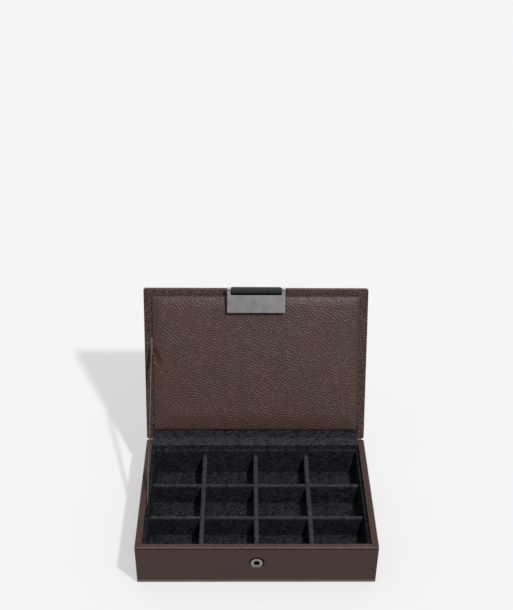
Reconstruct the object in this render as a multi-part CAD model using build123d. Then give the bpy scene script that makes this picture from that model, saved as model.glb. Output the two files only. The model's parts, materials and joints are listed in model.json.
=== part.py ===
from build123d import *
from math import cos, radians, sin
import os

# Cufflink display box. Millimetres, +Z up, +X to the right, -Y to the front.
# The origin is the centre of the base's underside. The lid stands open, as far back as its stay lets it.

# case
case_width = 180.6
case_depth = 125.0
base_height = 37.0  # table to rim
lid_thickness = 8.0
skin = 0.7  # leatherette wrap, glue included
board_front_corner = 0.3  # plan radius of the boards' corners away from the hinge
board_hinge_corner = 2.3  # plan radius of the boards' corners at the hinge
edge_round = 0.5  # round along the wrap's edges

# base walls
side_wall = 5.0  # wrap included
front_wall = 4.2
back_wall = 7.2
felt = 0.4
felt_inset = 1.5
bottom_board = 3.6
turn_in = 10.5  # how far the wrap runs down inside the rim

# tray
tray_board = 1.5
floor_pad = 3.0
side_liner = 2.3
front_liner = 3.7
back_liner = 2.4
liner_drop = 4.4  # rim to the top of the liners
divider = 3.1
divider_drop = 10.2  # rim to the top of the dividers
column_step = 41.83  # the cells at the two sides are a little wider than the others
columns = 4
rows = 3
lap_gap = 0.1

# hinge
open_angle = 112.9  # closed to open
hinge_out = 0.2  # axis behind the back face
shut_gap = 0.3  # rim to rim when shut
spine_drop = 9.0  # spine's lap down the back of the base
fold_gap = 0.1  # soft hinge to the lid's pieces
lining_back = 1.2  # the lining of the back wall ends this far from the back face
lid_lining_start = 0.9
lining_thickness = 0.35
lining_at_fold = 0.25
lid_return = 12.0  # how far the wrap and lining run under the pad

# pad in the lid
pad_start = 7.6  # hinge side of the lid to the pad
pad_margin = 5.1  # pad to the free edge of the lid
pad_side_gap = 0.7  # pad to the stay
pad_height = 3.3
pad_card = 1.2
pad_cover = 0.5
pad_bevel = 2.0

# stay ribbon, on the left
stay_width = 7.0
stay_thickness = 0.5
stay_wall_gap = 0.2
stay_foot = 69.0  # back face to the middle of the ribbon where it leaves the liner
stay_head = 78.0  # hinge side of the lid to the middle of the ribbon's head
stay_tail = 15.0  # length hidden behind the liner
stay_tab = 12.5  # length hidden under the pad
stay_room = 0.1

# clasp
bar_radius = 0.5
bar_gap = 0.1  # bar to the ribbon's loop and to the plate's eyes
eye_wall = 0.45
strap_thickness = 0.5
strap_width = 40.2
strap_seat = 0.3  # strap to the lid's faces
strap_tail = 14.0  # strap's lap on the outside of the lid
loop_hang = 4.1  # bar to the bottom of the loop
bar_out = 1.4  # free edge of the lid to the bar
bar_up = 8.4  # rim plane of the lid to the bar
plate_thickness = 1.0
plate_arm = 2.7  # each side of the slot
plate_slot_gap = 0.8  # bottom of the loop to the end of the slot
plate_tail = 10.5  # stud to the free end of the plate
plate_corner = 0.6
moving_gap = 0.3

# press stud
ring_radius = 5.0
ring_thickness = 0.8
ring_recess = 0.3
ring_gap = 0.1
barrel_radius = 3.2
socket_radius = 2.2
socket_floor = 0.8
groove_depth = 0.45
groove_start = 0.7
groove_width = 0.6
spring_radius = 0.2
spring_gap = 0.05  # spring to its groove, and post to its hole
post_radius = 0.95
post_head_radius = 1.6
post_head = 0.4
washer_radius = 4.5
stud_height = 2.1
stud_head_radius = 1.6
stud_head = 0.9
stud_neck_radius = 1.2
stud_flange_radius = 3.0
stud_flange = 0.4
stud_margin = 0.6  # end of the slot to the stud's flange
stud_round = 0.3

past = 1.0  # how far a cutting shape runs past the face that it opens

# places worked out from the sizes
half_width = case_width / 2
half_depth = case_depth / 2
rim = base_height
front_corner = board_front_corner + skin  # outer corners of the wrap
hinge_corner = board_hinge_corner + skin
board_top = felt + bottom_board
tray_floor = board_top + tray_board + floor_pad
liner_top = rim - liner_drop
divider_top = rim - divider_drop
side_inner = half_width - side_wall  # inner faces of the walls
front_inner = -half_depth + front_wall
back_inner = half_depth - back_wall
tray_side = side_inner - side_liner  # inner faces of the liners
tray_front = front_inner + front_liner
tray_back = back_inner - back_liner
row_step = (tray_back - tray_front - (rows - 1) * divider) / rows + divider
hinge_y = half_depth + hinge_out
hinge_z = rim + shut_gap / 2
stay_x = -side_inner + stay_wall_gap + stay_thickness / 2
stay_foot_y = half_depth - stay_foot
pad_half_width = side_inner - stay_wall_gap - stay_thickness - pad_side_gap
pad_end = case_depth - pad_margin
eye_radius = bar_radius + bar_gap + eye_wall
loop_radius = bar_radius + bar_gap + strap_thickness
plate_slot_half = strap_width / 2 + moving_gap
plate_half = plate_slot_half + plate_arm
plate_slot_end = loop_hang + plate_slot_gap  # from the bar
stud_drop = plate_slot_end + stud_margin + stud_flange_radius
plate_end = stud_drop + plate_tail
snap_height = rim + shut_gap - bar_up - stud_drop  # the socket, level with the stud of the shut box

def save(shape, name):
    shape.label = name
    export_step(shape, f"parts/{name}.step")


def block(xs, ys, zs):
    """A box between two planes each way."""
    size = [high - low for low, high in (xs, ys, zs)]
    middle = [(high + low) / 2 for low, high in (xs, ys, zs)]
    return Pos(*middle) * Box(*size)


def cornered(xs, ys, zs, low_radius, high_radius):
    """A box whose upright edges are rounded, by one radius at low Y and another at high Y."""
    solid = block(xs, ys, zs)
    middle = (ys[0] + ys[1]) / 2
    for radius, at_high in ((low_radius, False), (high_radius, True)):
        upright = solid.edges().filter_by(GeomType.LINE).filter_by(Axis.Z)
        solid = fillet([e for e in upright if (e.center().Y > middle) == at_high], radius)
    return solid


def prism(profile, width):
    """A prism along X, centred, whose section has the given corners (Y, Z)."""
    return extrude(Plane.YZ * make_face(Polyline(*profile, close=True)), width / 2, both=True)


def across(radius, low, high, y=0, z=0):
    """A cylinder along X."""
    return Pos((low + high) / 2, y, z) * Rot(0, 90, 0) * Cylinder(radius, high - low)


def inward(radius, start, end):
    """A cylinder along Y on the press stud's line, between two depths behind the front face."""
    middle = -half_depth + (start + end) / 2
    return Pos(0, middle, snap_height) * Rot(90, 0, 0) * Cylinder(radius, end - start)


# The lid's own frame: x along the hinge, y from the hinge side to the free edge, z out of the rim plane
# on the pad's side. Shut, the lid lies face down on the base; at rest it stands open.
shut_frame = Plane((0, half_depth, rim + shut_gap), x_dir=(1, 0, 0), z_dir=(0, 0, -1))
hinge_axis = Axis((0, hinge_y, hinge_z), (1, 0, 0))


def on_lid(shape):
    """A shape in the lid's frame, at its place on the open lid."""
    return (shut_frame * shape).rotate(hinge_axis, -open_angle)


def at_bar(shape):
    """A shape drawn about the clasp's bar, at its place on the open lid."""
    return on_lid(Pos(0, case_depth + bar_out, bar_up) * shape)


def lid_point(y, z):
    """(Y, Z), on the open lid, of a point in the lid's frame."""
    turn = radians(-open_angle)
    back, up = half_depth - y - hinge_y, rim + shut_gap - z - hinge_z
    return hinge_y + back * cos(turn) - up * sin(turn), hinge_z + back * sin(turn) + up * cos(turn)


def base_boards():
    """The carcass: a bottom board with four walls standing on it."""
    board_x, board_y = half_width - skin, half_depth - skin
    tall = (board_top, rim - skin)
    in_front, in_back = front_inner - skin, back_inner + skin
    sides, ends = (-board_x, board_x), (-board_y, board_y)
    bottom = cornered(sides, ends, (felt, board_top), board_front_corner, board_hinge_corner)
    save(bottom, "base_bottom_board")
    front = block(sides, (-board_y, in_front), tall)
    front = fillet(front.edges().filter_by(Axis.Z).group_by(Axis.Y)[0], board_front_corner)
    front -= inward(ring_radius + ring_gap, 0, ring_recess + ring_thickness)
    front -= inward(barrel_radius + ring_gap, 0, front_wall)
    save(front, "base_front_wall")
    back = block(sides, (in_back, board_y), tall)
    corners = back.edges().filter_by(Axis.Z).group_by(Axis.Y)[-1]
    save(fillet(corners, board_hinge_corner), "base_back_wall")
    for name, sign in (("base_left_wall", -1), ("base_right_wall", 1)):
        near, far = sorted((sign * (side_inner + skin), sign * board_x))
        save(block((near, far), (in_front, in_back), tall), name)
    foot_x, foot_y = half_width - felt_inset, half_depth - felt_inset
    save(block((-foot_x, foot_x), (-foot_y, foot_y), (0, felt)), "base_underside_felt")


def base_wrap():
    """Leatherette over the walls: outer faces, rim and a return inside it. At the hinge it leaves room
    for the spine outside and for the lining on top."""
    outside = (-half_width, half_width), (-half_depth, half_depth), (felt, rim)
    wrap = cornered(*outside, front_corner, hinge_corner)
    wrap = fillet(wrap.faces().sort_by(Axis.Z)[-1].edges(), edge_round)
    board_x, board_y = half_width - skin, half_depth - skin
    boards = (-board_x, board_x), (-board_y, board_y), (0, rim - skin)
    wrap -= cornered(*boards, board_front_corner, board_hinge_corner)
    leaf_x, leaf_front, leaf_back = side_inner + skin, front_inner - skin, back_inner + skin
    wrap += block((-leaf_x, leaf_x), (leaf_front, leaf_back), (rim - turn_in, rim - skin))
    wrap -= block((-side_inner, side_inner), (front_inner, back_inner), (0, rim + past))
    wrap -= block((-side_inner, side_inner), (front_inner, board_y), (rim - turn_in, rim + past))
    spine_x = half_width - hinge_corner
    wrap -= block((-spine_x, spine_x), (board_y, half_depth + past), (rim - spine_drop, rim + past))
    wrap -= inward(ring_radius + ring_gap, -past, skin)
    wrap -= inward(washer_radius + ring_gap, front_wall - skin, front_wall + past)
    save(wrap, "base_wrap")


def tray():
    """The velvet tray: floor, liners on the four walls, and dividers halved into each other."""
    floor = ((-tray_side, tray_side), (tray_front, tray_back))
    save(block(*floor, (board_top, board_top + tray_board)), "tray_floor_board")
    save(block(*floor, (board_top + tray_board, tray_floor)), "tray_floor_pad")
    tall = (board_top, liner_top)
    deep = (front_inner, back_inner)
    save(block((tray_side, side_inner), deep, tall), "liner_right")
    save(block((-side_inner, -tray_side), deep, tall) - stay_pocket(), "liner_left")
    save(block((-tray_side, tray_side), (front_inner, tray_front), tall), "liner_front")
    save(block((-tray_side, tray_side), (tray_back, back_inner), tall), "liner_back")
    middle = (tray_floor + divider_top) / 2
    half, slot = divider / 2, divider / 2 + lap_gap
    column_x = [column_step * (i + 1 - columns / 2) for i in range(columns - 1)]
    row_y = [tray_front + row_step * (i + 1) - half for i in range(rows - 1)]
    for number, y in enumerate(row_y, 1):
        row = block((-tray_side, tray_side), (y - half, y + half), (tray_floor, divider_top))
        for x in column_x:
            row -= block((x - slot, x + slot), (y - divider, y + divider), (middle - lap_gap, rim))
        save(row, f"divider_across_{number}")
    for number, x in enumerate(column_x, 1):
        column = block((x - half, x + half), (tray_front, tray_back), (tray_floor, divider_top))
        for y in row_y:
            column -= block((x - divider, x + divider), (y - slot, y + slot), (0, middle))
        save(column, f"divider_deep_{number}")


def stay_line():
    """The stay's direction (Y, Z), and half its footprints on the liner's top and on the lid."""
    head = lid_point(stay_head, 0)
    run, rise = head[0] - stay_foot_y, head[1] - liner_top
    length = (run**2 + rise**2) ** 0.5
    along = (run / length, rise / length)
    out = (lid_point(0, 1)[0] - lid_point(0, 0)[0], lid_point(0, 1)[1] - lid_point(0, 0)[1])
    to_lid = abs(along[0] * out[0] + along[1] * out[1])
    return along, stay_width / 2 / along[1], stay_width / 2 / to_lid


def stay_profile(low, high, extra):
    """The stay's section below the liner's top, between two lengths along it."""
    along, half_foot, _ = stay_line()
    ends = [(stay_foot_y - half_foot - extra, liner_top), (stay_foot_y + half_foot + extra, liner_top)]
    top = [(y - along[0] * high, z - along[1] * high) for y, z in ends]
    bottom = [(y - along[0] * low, z - along[1] * low) for y, z in reversed(ends)]
    return top + bottom


def stay_pocket():
    deep = stay_wall_gap + stay_thickness + stay_room
    pocket = prism(stay_profile(stay_tail + stay_room, -past, 2 * stay_room), 2 * deep)
    return Pos(-side_inner, 0, 0) * pocket


def stay():
    """The ribbon that holds the lid open: tail behind the liner, free length and tab under the pad."""
    _, half_foot, half_head = stay_line()
    save(Pos(stay_x, 0, 0) * prism(stay_profile(stay_tail, 0, 0), stay_thickness), "stay_tail")
    foot = [(stay_foot_y - half_foot, liner_top), (stay_foot_y + half_foot, liner_top)]
    clear = stay_thickness + stay_room
    head = [lid_point(stay_head - half_head, clear), lid_point(stay_head + half_head, clear)]
    save(Pos(stay_x, 0, 0) * prism(foot + head, stay_thickness), "stay_ribbon")
    save(on_lid(stay_tab_block(0)), "stay_tab")


def stay_tab_block(extra):
    """The stay's tab in the lid's frame, or with room around it the notch that takes it."""
    half_head = stay_line()[2] + extra
    edge = stay_x - stay_thickness / 2
    span = (stay_head - half_head, stay_head + half_head)
    return block((edge - extra, edge + stay_tab + extra), span, (0, stay_thickness + extra))


def hinge():
    """The soft hinge: a leatherette spine outside and a strip of lining inside, both folded at rest."""
    board_y = half_depth - skin
    spine = [
        (half_depth, rim - spine_drop),
        (half_depth, rim - skin),
        lid_point(0, -skin - fold_gap),
        lid_point(0, -lid_thickness),
        lid_point(skin, -lid_thickness),
        lid_point(skin, -skin - fold_gap),
        (board_y, rim - skin),
        (board_y, rim - spine_drop),
    ]
    save(prism(spine, 2 * (half_width - hinge_corner)), "hinge_spine")
    end, lid_end = half_depth - lining_back, lid_lining_start - fold_gap
    lining = [
        (end, rim),
        (half_depth, rim),
        lid_point(lid_end, 0),
        lid_point(lid_end, -lining_thickness),
        lid_point(0, -lining_at_fold),
        (board_y, rim - lining_thickness),
        (end, rim - lining_thickness),
    ]
    save(prism(lining, 2 * side_inner), "hinge_lining")
    cap = block((-side_inner, side_inner), (back_inner, end), (rim - skin, rim))
    cap += block((-side_inner, side_inner), (back_inner, back_inner + skin), (rim - turn_in, rim - skin))
    save(cap, "back_rim_lining")
    strip = block((-side_inner, side_inner), (lid_lining_start, lid_return), (-skin, 0))
    save(on_lid(strip), "lid_rim_lining")


def lid():
    """The lid: a board, its wrap and the padded panel inside it."""
    board_x = half_width - skin
    radii = (board_hinge_corner, board_front_corner)
    inside = (-lid_thickness + skin, -skin)
    board = cornered((-board_x, board_x), (skin + fold_gap, case_depth - skin), inside, *radii)
    save(on_lid(board), "lid_board")
    outside = (-half_width, half_width), (0, case_depth), (-lid_thickness, 0)
    wrap = cornered(*outside, hinge_corner, front_corner)
    for face in (wrap.faces().sort_by(Axis.Z)[-1], wrap.faces().sort_by(Axis.Z)[0]):
        wrap = fillet(face.edges(), edge_round)
    wrap -= cornered((-board_x, board_x), (skin, case_depth - skin), inside, *radii)
    window_x = half_width - lid_return
    wrap -= block((-window_x, window_x), (lid_return, case_depth - lid_return), (-skin, past))
    wrap -= block((-side_inner, side_inner), (-past, lid_return), (-skin, past))
    spine_x = half_width - hinge_corner
    wrap -= block((-spine_x, spine_x), (-past, skin + fold_gap), (-lid_thickness - past, past))
    save(on_lid(wrap), "lid_wrap")


def pad():
    """The padded panel: a card, a foam sheet and a leatherette cover with bevelled edges."""
    sides, ends = (-pad_half_width, pad_half_width), (pad_start, pad_end)
    cover = bevelled(sides, ends, (0, pad_height), pad_bevel)
    inner_x, inner_y = pad_half_width - pad_cover, (pad_start + pad_cover, pad_end - pad_cover)
    fill = bevelled((-inner_x, inner_x), inner_y, (0, pad_height - pad_cover), pad_bevel - pad_cover / 2)
    notch = stay_tab_block(stay_room)
    card = block(sides, ends, (0, pad_card))
    save(on_lid(cover - fill - notch), "pad_cover")
    save(on_lid(fill & card - notch), "pad_card")
    save(on_lid(fill - card - notch), "pad_foam")


def bevelled(xs, ys, zs, bevel):
    """A box whose top edges are bevelled."""
    solid = block(xs, ys, zs)
    return chamfer(solid.faces().sort_by(Axis.Z)[-1].edges(), bevel)


def strap():
    """The ribbon over the lid's free edge, the loop at its end and the bar in the loop."""
    inner, outer = case_depth + strap_seat, case_depth + strap_seat + strap_thickness
    back_in, back_out = -lid_thickness - strap_seat, -lid_thickness - strap_seat - strap_thickness
    end = bar_up - loop_radius - moving_gap
    profile = [
        (inner, end),
        (outer, end),
        (outer, back_out),
        (case_depth - strap_tail, back_out),
        (case_depth - strap_tail, back_in),
        (inner, back_in),
    ]
    save(on_lid(prism(profile, strap_width)), "strap_ribbon")
    half = strap_width / 2
    loop = flat_rod(loop_radius, half) - flat_rod(bar_radius + bar_gap, half + past)
    save(at_bar(loop), "strap_loop")
    bar_half = plate_half - moving_gap
    save(at_bar(across(bar_radius, -bar_half, bar_half)), "strap_bar")


def flat_rod(radius, half):
    """A flattened rod along X, from the bar down to the bottom of the loop."""
    low = -(loop_hang - loop_radius)
    rods = across(radius, -half, half) + across(radius, -half, half, y=low)
    return rods + block((-half, half), (low, 0), (-radius, radius))


def clasp():
    """The metal plate that swings on the bar, with the stud that snaps into the socket."""
    thick, slot = plate_thickness / 2, plate_slot_half
    plate = block((-plate_half, plate_half), (-plate_end, 0), (-thick, thick))
    plate = fillet(plate.edges().filter_by(Axis.Z).group_by(Axis.Y)[0], plate_corner)
    for sign in (-1, 1):
        plate += across(eye_radius, *sorted((sign * slot, sign * plate_half)))
    plate -= block((-slot, slot), (-plate_slot_end, eye_radius), (-eye_radius, eye_radius))
    plate -= across(bar_radius + bar_gap, -plate_half, plate_half)
    save(at_bar(plate), "clasp_plate")
    below = (Align.CENTER, Align.CENTER, Align.MAX)
    stud = Cylinder(stud_flange_radius, stud_flange, align=below)
    stud += Cylinder(stud_neck_radius, stud_height, align=below)
    head = Pos(0, 0, stud_head - stud_height) * Cylinder(stud_head_radius, stud_head, align=below)
    stud += fillet(head.edges().filter_by(GeomType.CIRCLE), stud_round)
    save(at_bar(Pos(0, -stud_drop, -thick) * stud), "snap_stud")


def socket():
    """The press stud's socket in the front wall, its spring ring and the post that rivets it."""
    back = front_wall - skin
    ring_back = ring_recess + ring_thickness
    floor = back - socket_floor
    groove_radius, groove_end = socket_radius + groove_depth, ring_recess + groove_start + groove_width
    body = inward(ring_radius, ring_recess, ring_back) + inward(barrel_radius, ring_back, back)
    body -= inward(socket_radius, 0, floor)
    body -= inward(groove_radius, groove_end - groove_width, groove_end)
    body -= inward(post_radius + spring_gap, floor, back)
    save(body, "snap_socket")
    groove_middle = -half_depth + groove_end - groove_width / 2
    spring = Torus(groove_radius - spring_radius - spring_gap, spring_radius)
    save(Pos(0, groove_middle, snap_height) * Rot(90, 0, 0) * spring, "snap_spring")
    post = inward(post_radius, floor, back) + inward(post_head_radius, floor - post_head, floor)
    save(post + inward(washer_radius, back, front_wall - ring_gap), "snap_post")


os.makedirs("parts", exist_ok=True)
base_boards()
base_wrap()
tray()
stay()
hinge()
lid()
pad()
strap()
clasp()
socket()
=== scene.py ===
import bpy
import bmesh
import json
from math import cos, hypot, pi, radians, sin, sqrt, tan
from mathutils import Matrix, Vector, noise


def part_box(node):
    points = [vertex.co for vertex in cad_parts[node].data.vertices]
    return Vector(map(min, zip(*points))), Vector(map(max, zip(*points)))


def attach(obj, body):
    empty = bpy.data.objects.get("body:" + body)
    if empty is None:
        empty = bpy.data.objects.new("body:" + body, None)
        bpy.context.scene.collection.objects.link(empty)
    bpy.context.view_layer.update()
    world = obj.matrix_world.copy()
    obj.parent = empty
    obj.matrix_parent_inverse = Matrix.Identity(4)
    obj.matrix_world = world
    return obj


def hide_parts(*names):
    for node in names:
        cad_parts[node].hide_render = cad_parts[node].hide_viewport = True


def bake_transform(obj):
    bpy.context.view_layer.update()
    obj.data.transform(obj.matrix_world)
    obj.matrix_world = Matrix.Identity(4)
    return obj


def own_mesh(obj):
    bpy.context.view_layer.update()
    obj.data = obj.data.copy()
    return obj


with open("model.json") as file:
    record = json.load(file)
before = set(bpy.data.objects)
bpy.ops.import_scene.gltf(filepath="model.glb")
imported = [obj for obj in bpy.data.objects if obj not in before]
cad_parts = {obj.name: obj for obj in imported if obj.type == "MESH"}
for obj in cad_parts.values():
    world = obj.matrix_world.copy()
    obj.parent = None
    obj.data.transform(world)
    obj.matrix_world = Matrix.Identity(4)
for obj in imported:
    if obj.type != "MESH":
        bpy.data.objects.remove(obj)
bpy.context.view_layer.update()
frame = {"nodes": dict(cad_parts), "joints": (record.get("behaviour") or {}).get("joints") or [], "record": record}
mm = 0.001
tiny = 1e-6
nodes = frame["nodes"]
print("frame loaded:", len(nodes), "nodes")


# places
def joint(name):
    return next(j for j in frame["joints"] if j["name"] == name)


hingePoint = Vector(joint("lid_hinge")["pos_m"])
barPoint = Vector(joint("strap_fold")["pos_m"])
openAngle = radians(joint("lid_hinge")["range_deg"][1])
wrapLow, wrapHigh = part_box("base_wrap")
rim = wrapHigh.z
rimGap = 2 * (hingePoint.z - rim)  # rim to rim when shut

# the lid's own frame: x along the hinge, y to the free edge, z out of the rim plane on the pad's side
shutPlace = Matrix.Translation((0, wrapHigh.y, rim + rimGap)) @ Matrix.Rotation(pi, 4, "X")
swingOpen = Matrix.Translation(hingePoint) @ Matrix.Rotation(-openAngle, 4, "X") @ Matrix.Translation(-hingePoint)
lidPlace = swingOpen @ shutPlace
barPlace = Matrix.Translation(barPoint) @ lidPlace.to_3x3().to_4x4()  # the same directions, from the clasp's bar
acrossX = Vector((1, 0, 0))


def boxIn(node, place):  # low and high corners of a node, in the directions of a place
    back = place.inverted()
    points = [back @ vertex.co for vertex in nodes[node].data.vertices]
    low = Vector(min(p[i] for p in points) for i in range(3))
    high = Vector(max(p[i] for p in points) for i in range(3))
    return low, high


# small tools
def smoothStep(t):
    t = min(max(t, 0.0), 1.0)
    return t * t * (3 - 2 * t)


def newObject(name, mesh, *materials):
    piece = bpy.data.objects.new(name, mesh)
    bpy.context.collection.objects.link(piece)
    for material in materials:
        mesh.materials.append(material)
    return piece


def fromBmesh(name, shape, material, sharp, place=None):
    bmesh.ops.recalc_face_normals(shape, faces=shape.faces)
    mesh = bpy.data.meshes.new(name)
    shape.to_mesh(mesh)
    shape.free()
    if place is not None:
        mesh.transform(place)
    smoothMesh(mesh, sharp)
    return newObject(name, mesh, material)


def smoothMesh(mesh, sharp):
    mesh.shade_smooth()
    mesh.set_sharp_from_angle(angle=radians(sharp))


def bake(piece):  # turns a piece with modifiers into a plain mesh
    graph = bpy.context.evaluated_depsgraph_get()
    mesh = bpy.data.meshes.new_from_object(piece.evaluated_get(graph))
    piece.modifiers.clear()
    piece.data = mesh


def finishPiece(piece, body, slotName, *replaced):
    if body:  # a piece that bends between two bodies rides neither
        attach(piece, body)
    if replaced:
        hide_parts(*replaced)


def upright(a, b):  # takes the two ends of an edge
    return abs(a.z - b.z) > 3 * mm


def blockShape(low, high):
    shape = bmesh.new()
    bmesh.ops.create_cube(shape, size=1)
    size, middle = high - low, (high + low) / 2
    for vertex in shape.verts:
        vertex.co = Vector(vertex.co[i] * size[i] + middle[i] for i in range(3))
    return shape


def roundEdges(shape, radius, steps, test):  # test takes the two ends of an edge
    edges = [e for e in shape.edges if test(e.verts[0].co, e.verts[1].co)]
    bmesh.ops.bevel(shape, geom=edges, offset=radius, segments=steps, profile=0.5, affect="EDGES", clamp_overlap=True)


def everything(faces):  # the faces with their edges and corners
    return list(dict.fromkeys([*faces, *(e for f in faces for e in f.edges), *(v for f in faces for v in f.verts)]))


def gridCuts(shape, cell, axes=(0, 1, 2), inside=None):  # cuts the faces into cells, all over or where inside says
    for axis in axes:
        low = min(v.co[axis] for v in shape.verts)
        high = max(v.co[axis] for v in shape.verts)
        if inside:
            low, high = inside[0][axis], inside[1][axis]
        count = max(1, round((high - low) / cell))
        normal = Vector(1 if i == axis else 0 for i in range(3))
        for step in range(1, count):
            at = normal * (low + (high - low) * step / count)
            faces = shape.faces[:]
            if inside:
                start, end = inside
                faces = [f for f in faces if all(start[i] <= f.calc_center_median()[i] <= end[i] for i in range(3))]
            bmesh.ops.bisect_plane(shape, geom=everything(faces), dist=0.1 * tiny, plane_co=at, plane_no=normal)


def ripple(shape, size, height, seed):  # moves a surface in and out a little
    shape.normal_update()
    shift = Vector((seed, seed * 2.3, seed * 3.7))
    moves = [(v, v.normal * noise.noise(v.co / size + shift) * height) for v in shape.verts]
    for vertex, move in moves:
        vertex.co += move


def cutterBox(low, high):
    return cutterObject(blockShape(Vector(low), Vector(high)))


def cutterObject(shape):
    mesh = bpy.data.meshes.new("cutter")
    shape.to_mesh(mesh)
    shape.free()
    return newObject("cutter", mesh)


def cutAway(piece, sharp, *cutters):
    for cutter in cutters:
        cut = piece.modifiers.new("cut", "BOOLEAN")
        cut.operation = "DIFFERENCE"
        cut.solver = "EXACT"
        cut.object = cutter
    bake(piece)
    smoothMesh(piece.data, sharp)
    for cutter in cutters:
        bpy.data.objects.remove(cutter)


def flatMap(mesh, spot):  # a UV map in metres; spot gives the place of a vertex from its number
    uv = mesh.uv_layers.new(name="flat")
    for loop in mesh.loops:
        uv.data[loop.index].uv = spot(loop.vertex_index)


def strip(name, path, across, width, thick, cells, material, place=None):
    # a band along a path, with its own UV map: u across, v along
    thinEdge = 0.55  # of its thickness
    points, spots, faces, total = [], [], [], 0.0
    around, last = 2 * cells + 2, len(path) - 1
    for i, point in enumerate(path):
        before, ahead = path[max(i - 1, 0)], path[min(i + 1, last)]
        sideways = across(i / last) if callable(across) else across
        normal = (ahead - before).normalized().cross(sideways).normalized()
        if i:
            total += (point - path[i - 1]).length
        for side, order in ((1, range(cells + 1)), (-1, range(cells, -1, -1))):
            for k in order:
                thin = thick / 2 * (thinEdge if k in (0, cells) else 1.0)
                points.append(point + sideways * width * (k / cells - 0.5) + normal * thin * side)
                spots.append((k / cells * width, total))
    for i in range(last):
        for k in range(around):
            a, b = i * around + k, i * around + (k + 1) % around
            faces.append((a, b, b + around, a + around))
    faces.append(tuple(range(around))[::-1])
    faces.append(tuple(range(last * around, (last + 1) * around)))
    mesh = bpy.data.meshes.new(name)
    mesh.from_pydata(points, [], faces)
    flatMap(mesh, lambda k: spots[k])
    shape = bmesh.new()
    shape.from_mesh(mesh)
    bpy.data.meshes.remove(mesh)
    return fromBmesh(name, shape, material, 40, place)


def bend(points, radius, steps=6):  # a path with its corners turned into arcs
    path = [points[0]]
    for before, corner, after in zip(points, points[1:], points[2:]):
        back, ahead = (before - corner).normalized(), (after - corner).normalized()
        half = back.angle(ahead) / 2
        shorter = min((before - corner).length, (after - corner).length)
        reach = min(radius / max(tiny, tan(half)), 0.45 * shorter)
        start, end = corner + back * reach, corner + ahead * reach
        for k in range(steps + 1):
            t = k / steps
            path.append(start.lerp(corner, t).lerp(corner.lerp(end, t), t))
    return path + [points[-1]]


def spaced(path, step):  # the same path with points no further apart than a step
    dense = [path[0]]
    for a, b in zip(path, path[1:]):
        count = max(1, round((b - a).length / step))
        dense += [a.lerp(b, k / count) for k in range(1, count + 1)]
    return dense


def lathe(name, profile, place, material, steps=72):  # profile is (radius, height) in mm, turned about Z
    shape = bmesh.new()
    previous = None
    for radius, height in profile:
        turns = [2 * pi * k / steps for k in range(steps)] if radius else [0]
        ring = [shape.verts.new((radius * mm * cos(turn), radius * mm * sin(turn), height * mm)) for turn in turns]
        if previous:
            for k in range(steps):
                below = [previous[i % len(previous)] for i in (k, k + 1)]
                above = [ring[i % len(ring)] for i in (k + 1, k)]
                shape.faces.new(list(dict.fromkeys(below + above)))
        previous = ring
    return fromBmesh(name, shape, material, 40, place)


# materials
def tone(red, green, blue):  # a screen colour, 0 to 255, as linear light
    def straight(value):
        value /= 255
        return value / 12.92 if value <= 0.04045 else ((value + 0.055) / 1.055) ** 2.4

    return straight(red), straight(green), straight(blue), 1.0


def newMaterial(name):
    material = bpy.data.materials.new(name)
    material.use_nodes = True
    tree = material.node_tree
    return material, tree, tree.nodes["Principled BSDF"]


def feed(socket, value):  # links another node's socket, or sets the value
    if isinstance(value, bpy.types.NodeSocket):
        socket.id_data.links.new(value, socket)
    else:
        socket.default_value = value


def add(tree, kind, inputs=None, **settings):
    node = tree.nodes.new(kind)
    for key, value in settings.items():
        setattr(node, key, value)
    for key, value in (inputs or {}).items():
        feed(node.inputs[key], value)
    return node


def follow(kind, inputs, **settings):  # a node in the tree of the sockets that feed it
    tree = next(value.id_data for value in inputs.values() if isinstance(value, bpy.types.NodeSocket))
    return add(tree, "ShaderNode" + kind, inputs, **settings).outputs


def maths(operation, *values):
    return follow("Math", dict(enumerate(values)), operation=operation)[0]


def times(product, *others):
    for other in others:
        product = maths("MULTIPLY", product, other)
    return product


def scaled(value, factor, plus):
    return maths("MULTIPLY_ADD", value, factor, plus)


def vectors(operation, first, second):
    return follow("VectorMath", {0: first, 1: second}, operation=operation)[0]


def dot(vector, axis):
    return follow("VectorMath", {0: vector, 1: axis}, operation="DOT_PRODUCT")["Value"]


def part(vector, letter):
    return follow("SeparateXYZ", {0: vector})[letter]


def mixColours(share, first, second):
    return follow("Mix", {0: share, 6: first, 7: second}, data_type="RGBA")[2]


def mapRange(value, fromLow, fromHigh, toLow=0.0, toHigh=1.0):
    inputs = {"Value": value, "From Min": fromLow, "From Max": fromHigh, "To Min": toLow, "To Max": toHigh}
    return follow("MapRange", inputs)[0]


def speckle(place, size, detail, rough=0.5, output="Fac"):  # noise in spots of a size
    return follow("TexNoise", {"Vector": place, "Scale": 1 / size, "Detail": detail, "Roughness": rough})[output]


def coordinates(tree, flat):  # the piece's own UV map in metres, or its object coordinates
    if flat:
        return add(tree, "ShaderNodeUVMap", uv_map="flat").outputs["UV"]
    return add(tree, "ShaderNodeTexCoord").outputs["Object"]


def facing(tree):  # the way that the piece's own surface faces
    return add(tree, "ShaderNodeTexCoord").outputs["Normal"]


def finishShader(shader, colour, height, depth, values, strength=1.0):
    bump = follow("Bump", {"Height": height, "Strength": strength, "Distance": depth})[0]
    for key, value in {"Base Color": colour, "Normal": bump, **values}.items():
        feed(shader.inputs[key], value)


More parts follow.
